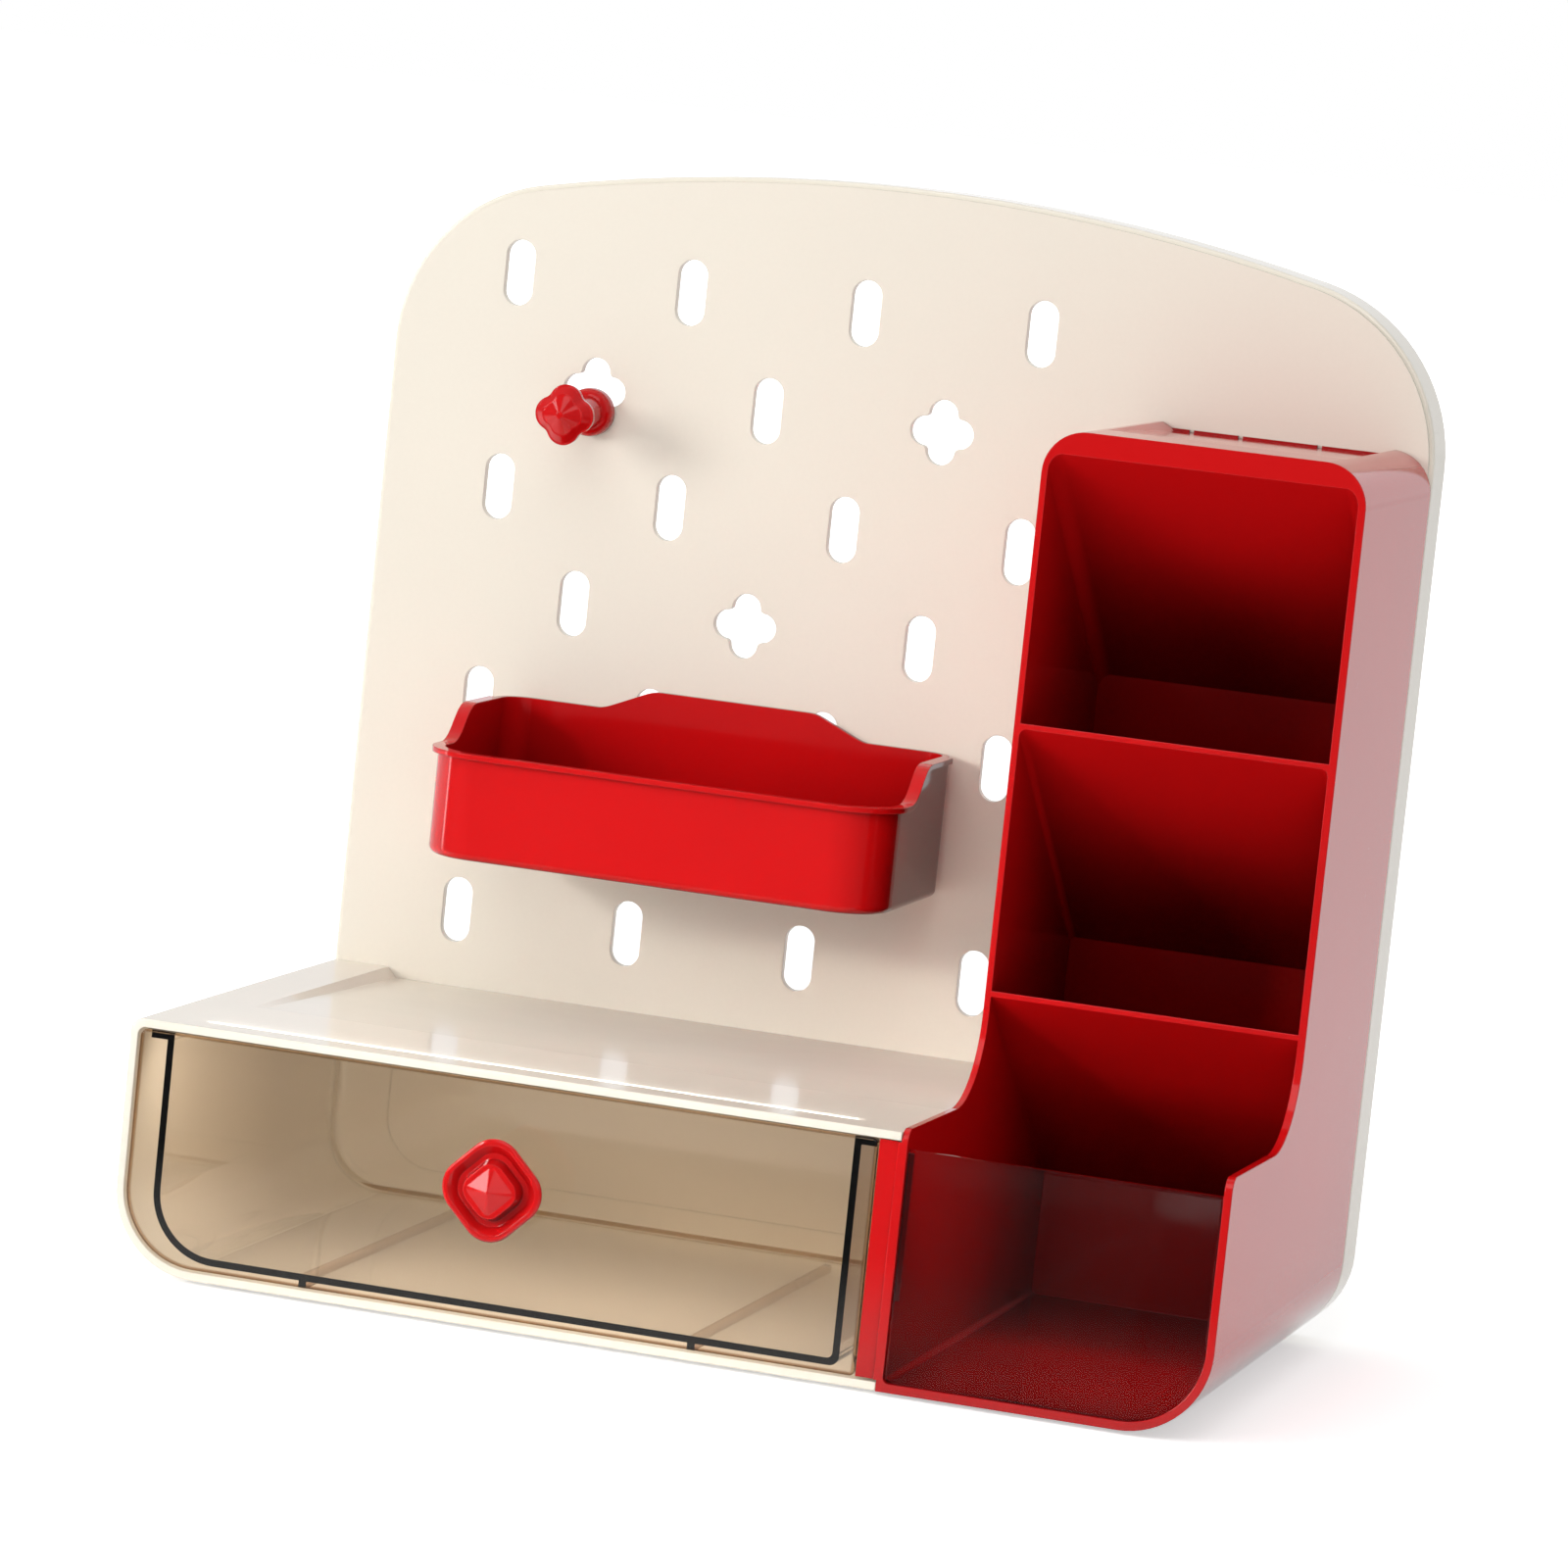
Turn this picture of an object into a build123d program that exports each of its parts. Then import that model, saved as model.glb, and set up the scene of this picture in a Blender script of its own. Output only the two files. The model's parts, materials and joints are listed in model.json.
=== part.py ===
from build123d import *
import math
import os

# A desk organizer: an arched pegboard stands behind a low housing with one
# drawer and a tall side tower with three open compartments. A basket and a
# peg hang on the board.
#
# Everything is drawn with y = 0 on the front face of the pegboard, -y towards
# the user, and z = 0 on the underside of the housing. settle() then moves each
# solid into the frame of the part: z = 0 under the foot pads and y = 0 half
# way between the front of the knob and the back of the board.

# ---- overall sizes ---------------------------------------------------------
WIDTH = 284.0
HALF = WIDTH / 2
BOX_DEPTH = 148.5          # front of the housing to the pegboard
BOARD_DEPTH = 15.5         # pegboard with its rim
FOOT_CORNER = 22.0         # large lower corners of housing, tower and board
WALL = 2.0
LEFT_WALL = 1.6            # the tower's wall beside the housing
FLOOR = 2.2
BACK_WALL = 2.0

# ---- pegboard --------------------------------------------------------------
BOARD_TOP = 286.6
CROWN_X = -5.0             # the arch is highest a little left of the middle
CROWN_RADIUS = 490.0
SHOULDER_RADIUS = 46.0
SHEET = 2.5
RIM_WALL = 2.2
RABBET = 1.3               # step round the front edge of the board
RIM_STEP = 0.8
PITCH = 48.0               # slot to slot along a row
ROW_STEP = 28.6
FIRST_COLUMN = -108.7
FIRST_ROW = 252.7
FULL_ROWS = (0, 2, 4, 6)   # four slots each
MIXED_ROWS = (1, 3, 5)     # slots and four-lobed holes in turn, half a pitch over
SLOT_WIDTH = 8.1
SLOT_HEIGHT = 17.5
CLOVER_WIDTH = 7.8
CLOVER_SPAN = 17.2
CLOVER_SOFTNESS = 1.2      # radius of the four inner corners
RIB_ROWS = (0.5, 1.5, 2.5)
RIB_THICK = 1.6
RIB_BACK = 7.0

# ---- tower -----------------------------------------------------------------
TOWER_LEFT = 59.2
TOWER_TOP = 234.0
TOWER_DEPTH = 81.0
TOWER_CORNER = 11.0
STEP_HEIGHT = 64.4         # top of the low side walls
STEP_RISE = 0.6            # they rise this much towards the user
STEP_RADIUS = 22.0
STEP_NOSE = 3.5
SHELF_FRONTS = (228.0, 158.4, 90.4)
SHELF_DROPS = (61.0, 61.0, 56.0)    # a shelf falls this far from front to back
SHELF_EDGE = 1.4           # height of a shelf's front edge
SHELF = 2.2                # height of a shelf at the back
CEILING_FILLETS = (3.6, 1.6)
LOFT_FRONT = -69.0         # the space over the top shelf
ROOF = 4.0
TOP_TRAY = (70.0, 131.8)   # left and right edge of the tray in the tower's top
TOP_TRAY_DEPTH = 2.0
TOP_TRAY_SLOPE = 4.0       # width of its sloping sides
TOP_TRAY_FRONT = -62.0
TOP_RIM = 0.7              # low rim at the back of the tray, with three notches
TOP_RIM_NOTCHES = (78.0, 91.0, 112.0)
NOTCH_WIDTH = 1.2
TOWER_INSIDE = (TOWER_LEFT + LEFT_WALL, HALF - WALL)

# ---- clear guard of the low compartment -----------------------------------
GUARD_TOP = 60.0
GUARD_FRONT = -147.2
GUARD_THICK = 2.0
GUARD_GAP = 0.15
GUARD_RIB = 1.2

# ---- flange between the drawer and the tower -------------------------------
FLANGE_LEFT = 53.6
FLANGE_FRONT = -147.7
FLANGE_THICK = 1.8
FLANGE_BOTTOM = 2.8
FLANGE_TOP = 61.8
BEAD_LEFT = 58.3           # a raised bead beside the side wall

# ---- housing ---------------------------------------------------------------
HOUSING_RIGHT = 59.1
HOUSING_FRONT_TOP = 64.2
HOUSING_BACK_TOP = 63.0
PLATE = 2.0
TRAY_LEFT = -126.4
TRAY_DEPTH = 2.7
TRAY_FRONT_DEPTH = 0.2
TRAY_LENGTH = 103.0
TRAY_SLOPE = 2.6           # width of the tray's sloping left side
TOP_CORNER = 3.2
BACK_PANEL = (-121.5, 36.0, 10.2, 54.0)
BACK_PANEL_DEPTH = 0.8

# ---- foot pads -------------------------------------------------------------
PAD_RADIUS = 5.0
PAD_SEAT = 0.7
PAD_DROP = 0.8             # the pads stand this far below the housing
PAD_FRONT = -134.0
PAD_BACK = -14.0
HOUSING_PAD_COLUMNS = {"left": -112.0, "middle": 40.0}
TOWER_PAD_COLUMNS = {"right": 112.0}

# ---- drawer ----------------------------------------------------------------
DRAWER_GAP = 0.5
DRAWER_FRONT = -148.1
FRONT_THICK = 2.2
TUB_LEFT = -132.6
TUB_RIGHT = 48.8
TUB_BACK = -16.0
TUB_BOTTOM = 4.2
TUB_WALL = 1.8
TUB_CORNER = 17.5
TUB_FRONT_TOP = 61.0
TUB_BACK_TOP = 57.3
LIP = 4.4
LIP_THICK = 1.4
LIP_BACK = -21.0
RUNNERS = (-91.0, 11.0)
RUNNER_WIDTH = 2.0
RUNNER_GAP = 0.2
RUNNER_BACK = -24.0

# ---- knob ------------------------------------------------------------------
KNOB_X = -39.5
KNOB_Z = 36.8
KNOB_RIM = 26.4            # corner to corner
KNOB_SOFTNESS = 0.66
KNOB_REACH = 16.5
KNOB_FOOT_RADIUS = 6.2
KNOB_NECK = 15.5
KNOB_DISH = 8.0
KNOB_TABLE = 13.6

# ---- screws ----------------------------------------------------------------
SCREW = 3.0
SCREW_HEAD_RADIUS = 3.2
SCREW_HEAD_HEIGHT = 2.0
RECESS_LENGTH = 4.0
RECESS_WIDTH = 0.8
RECESS_DEPTH = 1.0
PILOT_RADIUS = SCREW / 2 + 0.05
BOSS_RADIUS = 3.6
SEAT_RADIUS = 5.0
SEAT_HEIGHT = 1.2
BOARD_SCREW_LENGTH = 8.1
KNOB_SCREW_LENGTH = 10.4
TOWER_SCREWS_HIGH = ((74.0, 216.0), (128.0, 216.0))
TOWER_SCREWS_LOW = ((116.0, 8.4),)
HOUSING_SCREWS = ((-118.0, 47.0), (-46.0, 47.0), (26.0, 47.0), (26.0, 14.0))
BOARD_SCREWS = TOWER_SCREWS_HIGH + TOWER_SCREWS_LOW + HOUSING_SCREWS

# ---- peg -------------------------------------------------------------------
PEG_REACH = 28.0
PEG_COLUMN = 0.5
PEG_ROW = 1
PEG_DISC_RADIUS = 6.4
PEG_HEAD = 16.0
PEG_CROWN = 11.0
PEG_STEM_RADIUS = 2.45
KEY_WIDTH = 6.6
KEY_REACH = 7.2            # from the peg's middle down to the key's lower end
KEY_FRONT = 3.0
KEY_THICK = 2.2

# ---- basket ----------------------------------------------------------------
BASKET_LEFT = -100.6
BASKET_RIGHT = 24.6
BASKET_FRONT = -65.0
BASKET_BACK = -0.7
BASKET_BOTTOM = 103.3
BASKET_FRONT_TOP = 131.2
BASKET_BACK_TOP = 140.6
BASKET_TAB_TOP = 146.6
BASKET_CORNER = 14.5
BASKET_BACK_CORNER = 8.0
BASKET_WALL = 1.8
SWEEP_BACK = -29.0         # the upper edge sweeps down from here
SWEEP_FRONT = -47.0
BASKET_LIP = 1.6
BASKET_LIP_THICK = 1.4
BASKET_LIP_BACK = -10.0
TAB_HALF = 36.5
TAB_TOP_HALF = 22.5
TAB_ROUND = 10.0
TAB_FOOT_ROUND = 14.0
HOOK_COLUMNS = (1, 2)
HOOK_ROW = 4
HOOK_PLAY = 0.9
HOOK_NECK = 9.2            # height of the neck in the slot
HOOK_TONGUE = 15.8         # height of the tongue behind the board
HOOK_THICK = 2.0
HANG_GAP = 0.35            # air under the neck

KNOB_FRONT = DRAWER_FRONT - KNOB_REACH
SHIFT_Y = -(KNOB_FRONT + BOARD_DEPTH) / 2


# ---- helpers ---------------------------------------------------------------
def column_x(column):
    return FIRST_COLUMN + PITCH * column


def row_z(row):
    return FIRST_ROW - ROW_STEP * row


def block(x0, x1, y0, y1, z0, z1):
    middle = Pos((x0 + x1) / 2, (y0 + y1) / 2, (z0 + z1) / 2)
    return middle * Box(x1 - x0, y1 - y0, z1 - z0)


def along_y(face, y0, y1):
    """A face drawn in x and z, as a slab from y0 back to y1."""
    return Pos(0, y1, 0) * extrude(Plane.XZ * face, amount=y1 - y0)


def along_x(face, x0, x1):
    """A face drawn in y and z, as a slab from x0 to x1."""
    return Pos(x0, 0, 0) * extrude(Plane.YZ * face, amount=x1 - x0)


def along_z(face, z0, z1):
    return Pos(0, 0, z0) * extrude(face, amount=z1 - z0)


def upright_cylinder(radius, height):
    """A cylinder that stands on z = 0."""
    return Cylinder(radius, height, align=(Align.CENTER, Align.CENTER, Align.MIN))


def outline(points):
    return make_face(Polyline(*points, close=True))


def edges_at(shape, axis, place):
    """The edges of a shape that lie in the plane at this place on an axis."""
    return shape.edges().filter_by_position(axis, place - 0.01, place + 0.01)


def rounded(x0, x1, z0, z1, low_left=0, low_right=0, top_right=0, top_left=0):
    """A rectangle whose four corners each have their own radius."""
    face = outline([(x0, z0), (x1, z0), (x1, z1), (x0, z1)])
    corners = (
        (x0, z0, low_left),
        (x1, z0, low_right),
        (x1, z1, top_right),
        (x0, z1, top_left),
    )
    for x, z, radius in corners:
        if radius > 0:
            corner = face.vertices().sort_by_distance((x, z, 0))[0]
            face = fillet(corner, radius)
    return face


def squircle(span, softness=0.42):
    """A square that stands on a corner, with generously rounded corners."""
    side = span / (math.sqrt(2) * (1 - softness) + softness)
    return Rot(0, 0, 45) * RectangleRounded(side, side, side * softness / 2)


def cross_face(span, width):
    upright = SlotOverall(span, width, rotation=90)
    level = SlotOverall(span, width)
    return upright + level


def lobed(span, width_share=0.56, softness=0.2):
    """A shallow four-lobed outline: a rounded cross with its hollows filled out."""
    cross = cross_face(span, span * width_share)
    return offset(offset(cross, amount=span * softness), amount=-span * softness)


def settle(shape):
    return Pos(0, SHIFT_Y, PAD_DROP) * shape


# ---- screws and their posts ------------------------------------------------
def screw(length):
    """Pan-head screw with a cross recess, its head standing on z = 0."""
    head = upright_cylinder(SCREW_HEAD_RADIUS, SCREW_HEAD_HEIGHT)
    head = fillet(edges_at(head, Axis.Z, SCREW_HEAD_HEIGHT), 0.9)
    slot_middle = Pos(0, 0, SCREW_HEAD_HEIGHT - RECESS_DEPTH + 0.7)
    head -= slot_middle * Box(RECESS_LENGTH, RECESS_WIDTH, 1.4)
    head -= slot_middle * Box(RECESS_WIDTH, RECESS_LENGTH, 1.4)
    shank = Pos(0, 0, -length) * upright_cylinder(SCREW / 2, length + 0.1)
    return head + shank


def boss(x, z, front, back):
    """A screw post between two depths, and its pilot hole, open behind."""
    post = along_y(Pos(x, z) * Circle(BOSS_RADIUS), front, back)
    pilot = along_y(Pos(x, z) * Circle(PILOT_RADIUS), front + 1.2, 1)
    return post, pilot


# ---- pegboard --------------------------------------------------------------
def board_face(inset):
    """The arched outline of the board, drawn in by an inset."""
    box = Pos(0, BOARD_TOP / 2) * Rectangle(WIDTH - 2 * inset, BOARD_TOP - 2 * inset)
    crown = Pos(CROWN_X, BOARD_TOP - CROWN_RADIUS) * Circle(CROWN_RADIUS - inset)
    face = box & crown
    lower = face.vertices().sort_by(Axis.Y)[:2]
    face = fillet(lower, FOOT_CORNER - inset)
    upper = [v for v in face.vertices() if v.Y > BOARD_TOP / 2]
    return fillet(upper, SHOULDER_RADIUS - inset)


def slot_face():
    return SlotOverall(SLOT_HEIGHT, SLOT_WIDTH, rotation=90)


def clover_face():
    """A four-lobed hole, its inner corners rounded."""
    wide = offset(cross_face(CLOVER_SPAN, CLOVER_WIDTH), amount=CLOVER_SOFTNESS)
    return offset(wide, amount=-CLOVER_SOFTNESS)


def board_holes():
    slot = slot_face()
    clover = clover_face()
    holes = []
    for row in FULL_ROWS:
        for column in range(4):
            holes.append(Pos(column_x(column), row_z(row)) * slot)
    for row in MIXED_ROWS:
        for step in range(3):
            shape = slot if (step + row // 2) % 2 else clover
            holes.append(Pos(column_x(step + 0.5), row_z(row)) * shape)
    return holes


def pegboard():
    rim = along_y(board_face(0), RIM_STEP, BOARD_DEPTH)
    rim = fillet(edges_at(rim, Axis.Y, RIM_STEP), 0.7)
    hollow = along_y(board_face(RIM_WALL), SHEET, BOARD_DEPTH + 1)
    raised = along_y(board_face(RABBET), 0, RIM_STEP + 0.5)
    board = rim - hollow + raised
    rib_end = HALF - RIM_WALL / 2
    for row in RIB_ROWS:
        low = row_z(row) - RIB_THICK / 2
        board += block(-rib_end, rib_end, SHEET - 0.2, RIB_BACK, low, low + RIB_THICK)
    for x, z in BOARD_SCREWS:
        board += along_y(Pos(x, z) * Circle(SEAT_RADIUS), SHEET - 0.2, SHEET + SEAT_HEIGHT)
    for hole in board_holes():
        board -= along_y(hole, -1, SHEET + 1)
    for x, z in BOARD_SCREWS:
        board -= along_y(Pos(x, z) * Circle(SCREW / 2 + 0.3), -1, SHEET + 3)
    return board


def board_screws():
    """The screws put in from behind the board."""
    head_front = SHEET + SEAT_HEIGHT + 0.05
    screws = []
    for x, z in BOARD_SCREWS:
        screws.append(Pos(x, head_front, z) * Rot(-90, 0, 0) * screw(BOARD_SCREW_LENGTH))
    return Compound(children=screws)


# ---- tower -----------------------------------------------------------------
def tower_side():
    """Side view of the tower: low in front, a hollow curve, tall behind."""
    front = -BOX_DEPTH
    front_top = STEP_HEIGHT + STEP_RISE
    curve_y = -TOWER_DEPTH - STEP_RADIUS
    curve_z = STEP_HEIGHT + STEP_RADIUS
    slant = math.radians(45)
    middle = (
        curve_y + STEP_RADIUS * math.sin(slant),
        curve_z - STEP_RADIUS * math.cos(slant),
    )
    lines = [
        Line((0, 0), (front, 0)),
        Line((front, 0), (front, front_top)),
        Line((front, front_top), (curve_y, STEP_HEIGHT)),
        ThreePointArc((curve_y, STEP_HEIGHT), middle, (-TOWER_DEPTH, curve_z)),
        Line((-TOWER_DEPTH, curve_z), (-TOWER_DEPTH, TOWER_TOP)),
        Line((-TOWER_DEPTH, TOWER_TOP), (0, TOWER_TOP)),
        Line((0, TOWER_TOP), (0, 0)),
    ]
    face = make_face(Curve() + lines)
    nose = face.vertices().sort_by_distance((front, front_top, 0))[0]
    return fillet(nose, STEP_NOSE)


def on_ceiling(edge, above):
    """True for the two edges where a shelf's underside meets the side walls."""
    middle = edge.center()
    half_way = (-TOWER_DEPTH - BACK_WALL) / 2
    height = SHELF_FRONTS[above] - SHELF_DROPS[above] / 2
    beside = min(abs(middle.X - wall) for wall in TOWER_INSIDE) < 0.01
    return beside and abs(middle.Y - half_way) < 0.5 and abs(middle.Z - height) < 0.5


def cell(above, below):
    """The slanted room between the underside of one shelf and the next shelf."""
    front = -TOWER_DEPTH
    back = -BACK_WALL
    ceiling = SHELF_FRONTS[above]
    front_floor = SHELF_FRONTS[below] + SHELF_EDGE
    back_floor = SHELF_FRONTS[below] - SHELF_DROPS[below] + SHELF
    points = [
        (front - 5, ceiling),
        (front, ceiling),
        (back, ceiling - SHELF_DROPS[above]),
        (back, back_floor),
        (front, front_floor),
        (front - 5, front_floor),
    ]
    hollow = along_x(outline(points), *TOWER_INSIDE)
    long_edges = hollow.edges().filter_by(lambda edge: on_ceiling(edge, above))
    return fillet(long_edges, CEILING_FILLETS[above])


def low_room():
    """The low compartment, open in front and above its low side walls."""
    lowest = len(SHELF_FRONTS) - 1
    points = [
        (-BOX_DEPTH - 5, FLOOR),
        (-BACK_WALL, FLOOR),
        (-BACK_WALL, SHELF_FRONTS[lowest] - SHELF_DROPS[lowest]),
        (-TOWER_DEPTH, SHELF_FRONTS[lowest]),
        (-TOWER_DEPTH - 0.01, TOWER_TOP),
        (-BOX_DEPTH - 5, TOWER_TOP),
    ]
    front_view = rounded(
        *TOWER_INSIDE, FLOOR, TOWER_TOP + 5,
        low_right=FOOT_CORNER - WALL, low_left=1.5,
    )
    return along_x(outline(points), *TOWER_INSIDE) & along_y(front_view, -BOX_DEPTH - 6, 1)


def loft_room():
    """The space over the top shelf, which opens to the back."""
    slope = SHELF_DROPS[0] / (TOWER_DEPTH - BACK_WALL)
    shelf_top = SHELF_FRONTS[0] + SHELF + 1
    front_z = shelf_top - slope * (LOFT_FRONT + TOWER_DEPTH)
    back_z = shelf_top - SHELF_DROPS[0]
    points = [
        (1, back_z),
        (-BACK_WALL, back_z),
        (LOFT_FRONT, front_z),
        (LOFT_FRONT, TOWER_TOP - ROOF),
        (1, TOWER_TOP - ROOF),
    ]
    room = along_x(outline(points), TOWER_INSIDE[0] + 1, TOWER_INSIDE[1] - 1)
    return fillet(room.edges().filter_by(Axis.Y), 4)


def tower_tray():
    """A shallow tray in the top with sloping sides, deepest at its rim behind."""
    deep = TOWER_TOP - TOP_TRAY_DEPTH
    left, right = TOP_TRAY
    front_view = outline([
        (left + TOP_TRAY_SLOPE, deep),
        (right - TOP_TRAY_SLOPE, deep),
        (right, TOWER_TOP),
        (right, TOWER_TOP + 1),
        (left, TOWER_TOP + 1),
        (left, TOWER_TOP),
    ])
    high = TOWER_TOP + 2
    side_view = outline([
        (-1, deep),
        (-1, deep + TOP_RIM),
        (1, deep + TOP_RIM),
        (1, high),
        (TOP_TRAY_FRONT, high),
        (TOP_TRAY_FRONT, TOWER_TOP),
    ])
    tray = along_y(front_view, TOP_TRAY_FRONT - 1, 1) & along_x(side_view, left - 1, right + 1)
    for x in TOP_RIM_NOTCHES:
        tray += block(x - NOTCH_WIDTH / 2, x + NOTCH_WIDTH / 2, -1.5, 1, deep + 0.05, TOWER_TOP)
    return tray


def flange():
    """Flange that closes the right end of the drawer opening, with a bead."""
    back = FLANGE_FRONT + FLANGE_THICK
    plate = block(FLANGE_LEFT, TOWER_LEFT + 0.5, FLANGE_FRONT, back, FLANGE_BOTTOM, FLANGE_TOP)
    bead = block(BEAD_LEFT, TOWER_LEFT + 0.5, -BOX_DEPTH, back, FLANGE_BOTTOM, FLANGE_TOP)
    upright_edges = bead.edges().filter_by(Axis.Z)
    bead_edge = upright_edges.sort_by_distance((BEAD_LEFT, -BOX_DEPTH, STEP_HEIGHT / 2))[0]
    return plate + fillet(bead_edge, 0.4)


def guard_ribs():
    """Two ribs on the side walls that hold the clear guard from behind."""
    left, right = TOWER_INSIDE
    front = GUARD_FRONT + GUARD_THICK + GUARD_GAP
    back = front + GUARD_RIB
    low = FLOOR + FOOT_CORNER - WALL
    high = GUARD_TOP - 1
    left_rib = block(left - 0.3, left + GUARD_RIB, front, back, low, high)
    right_rib = block(right - GUARD_RIB, right + 0.3, front, back, low, high)
    return left_rib + right_rib


def tower_bosses():
    """Screw posts of the tower; the upper two hang from webs under the roof."""
    posts = []
    pilots = []
    for x, z in TOWER_SCREWS_LOW:
        post, pilot = boss(x, z, -8.5, -1.0)
        posts.append(post)
        pilots.append(pilot)
    for x, z in TOWER_SCREWS_HIGH:
        post, pilot = boss(x, z, -14.0, -0.1)
        web = block(x - 0.8, x + 0.8, -14.0, -0.1, z, TOWER_TOP - ROOF + 1)
        posts.append(post + web)
        pilots.append(pilot)
    return posts, pilots


def tower():
    body = along_x(tower_side(), TOWER_LEFT, HALF)
    front_view = rounded(
        TOWER_LEFT, HALF, 0, TOWER_TOP,
        low_right=FOOT_CORNER, top_right=TOWER_CORNER, top_left=TOWER_CORNER,
    )
    body &= along_y(front_view, -BOX_DEPTH - 1, 1)
    body -= cell(0, 1)
    body -= cell(1, 2)
    body -= low_room()
    body -= loft_room()
    body -= tower_tray()
    body += flange()
    body += guard_ribs()
    posts, pilots = tower_bosses()
    for post in posts:
        body += post
    for pilot in pilots:
        body -= pilot
    return body - pad_seats(TOWER_PAD_COLUMNS)


def guard():
    """Clear plate across the front of the low compartment."""
    left = TOWER_INSIDE[0] + GUARD_GAP
    right = TOWER_INSIDE[1] - GUARD_GAP
    corner = FOOT_CORNER - WALL - GUARD_GAP
    face = rounded(left, right, FLOOR + GUARD_GAP, GUARD_TOP, low_right=corner, low_left=1.6)
    plate = along_y(face, GUARD_FRONT, GUARD_FRONT + GUARD_THICK)
    top_edges = edges_at(plate, Axis.Z, GUARD_TOP).filter_by(Axis.X)
    return fillet(top_edges, 0.6)


# ---- housing ---------------------------------------------------------------
def sloped_top(front_z, back_z):
    """Everything under a plane that falls from the front to the board."""
    points = [(-BOX_DEPTH - 2, -5), (2, -5), (2, back_z), (-BOX_DEPTH - 2, front_z)]
    return along_x(outline(points), -HALF - 5, HALF)


def housing_shell():
    """Outer shape of the housing, with its front edges softened."""
    outer = rounded(
        -HALF, HOUSING_RIGHT, 0, HOUSING_FRONT_TOP,
        low_left=FOOT_CORNER, top_left=TOP_CORNER,
    )
    shell = along_y(outer, -BOX_DEPTH, -0.05) & sloped_top(HOUSING_FRONT_TOP, HOUSING_BACK_TOP)
    front_rim = edges_at(shell, Axis.Y, -BOX_DEPTH)
    front_rim = [edge for edge in front_rim if edge.center().X < HOUSING_RIGHT - 0.1]
    return fillet(front_rim, 0.5)


def housing_room():
    """The drawer's space, open in front and towards the tower."""
    inner = rounded(
        -HALF + WALL, HOUSING_RIGHT + 5, FLOOR, HOUSING_FRONT_TOP - PLATE,
        low_left=FOOT_CORNER - WALL, top_left=TOP_CORNER - 1,
    )
    ceiling = sloped_top(HOUSING_FRONT_TOP - PLATE, HOUSING_BACK_TOP - TRAY_DEPTH - PLATE)
    return along_y(inner, -BOX_DEPTH - 1, -BACK_WALL) & ceiling


def tray_section(y, depth):
    """Section of the housing's tray at one place between front and board."""
    rise = (HOUSING_FRONT_TOP - HOUSING_BACK_TOP) / BOX_DEPTH
    top = HOUSING_BACK_TOP - rise * y
    right = HOUSING_RIGHT + 5
    face = outline([
        (TRAY_LEFT, top),
        (TRAY_LEFT + TRAY_SLOPE, top - depth),
        (right, top - depth),
        (right, top + 5),
        (TRAY_LEFT, top + 5),
    ])
    return Pos(0, y, 0) * (Plane.XZ * face)


def housing_tray():
    """The tray in the top is nearly flush in front and deepest at the board."""
    front = tray_section(-TRAY_LENGTH, TRAY_FRONT_DEPTH)
    back = tray_section(1, TRAY_DEPTH)
    return loft([front, back], ruled=True)


def housing():
    body = housing_shell() - housing_room() - housing_tray()
    panel = rounded(*BACK_PANEL, 14, 14, 5, 5)
    body -= along_y(panel, -BACK_WALL - 1, -BACK_WALL + BACK_PANEL_DEPTH)
    for x, z in HOUSING_SCREWS:
        post, pilot = boss(x, z, -9.0, -1.0)
        body = body + post - pilot
    return body - pad_seats(HOUSING_PAD_COLUMNS)


# ---- foot pads -------------------------------------------------------------
def pad_places(columns):
    """Name and place of the front and the back pad of each column."""
    places = {}
    for side, x in columns.items():
        places[f"foot_pad_front_{side}"] = (x, PAD_FRONT)
        places[f"foot_pad_back_{side}"] = (x, PAD_BACK)
    return places


def pad_seats(columns):
    """Shallow round seats that the pads are stuck into."""
    seats = []
    for x, y in pad_places(columns).values():
        seats.append(Pos(x, y, 0) * Cylinder(PAD_RADIUS + 0.1, 2 * PAD_SEAT))
    return seats


def foot_pad(place):
    x, y = place
    pad = Pos(x, y, -PAD_DROP) * upright_cylinder(PAD_RADIUS, PAD_SEAT + PAD_DROP)
    return fillet(edges_at(pad, Axis.Z, -PAD_DROP), 0.35)


# ---- drawer ----------------------------------------------------------------
def drawer_plate():
    """Front plate of the drawer, which fills the housing's opening."""
    face = rounded(
        -HALF + WALL + DRAWER_GAP, FLANGE_LEFT - DRAWER_GAP,
        FLOOR + DRAWER_GAP, HOUSING_FRONT_TOP - PLATE - DRAWER_GAP,
        low_left=FOOT_CORNER - WALL - DRAWER_GAP, low_right=1.0, top_right=1.2, top_left=2.0,
    )
    plate = along_y(face, DRAWER_FRONT, DRAWER_FRONT + FRONT_THICK)
    return fillet(edges_at(plate, Axis.Y, DRAWER_FRONT), 0.5)


def drawer_tub(front):
    """Outer shape of the tub, with its outward lips."""
    face = rounded(
        TUB_LEFT, TUB_RIGHT, TUB_BOTTOM, TUB_FRONT_TOP, low_left=TUB_CORNER, low_right=2.5,
    )
    tub = along_y(face, front, TUB_BACK)
    tub = fillet(edges_at(tub.edges().filter_by(Axis.Z), Axis.Y, TUB_BACK), 4.0)
    left_lip = block(TUB_LEFT - LIP, TUB_LEFT + 0.5, front, LIP_BACK, 50, TUB_FRONT_TOP)
    right_lip = block(TUB_RIGHT - 0.5, TUB_RIGHT + LIP, front, LIP_BACK, 50, TUB_FRONT_TOP)
    under_lips = sloped_top(TUB_FRONT_TOP - LIP_THICK, TUB_BACK_TOP - LIP_THICK)
    return (tub + ((left_lip + right_lip) - under_lips)) & sloped_top(TUB_FRONT_TOP, TUB_BACK_TOP)


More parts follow.
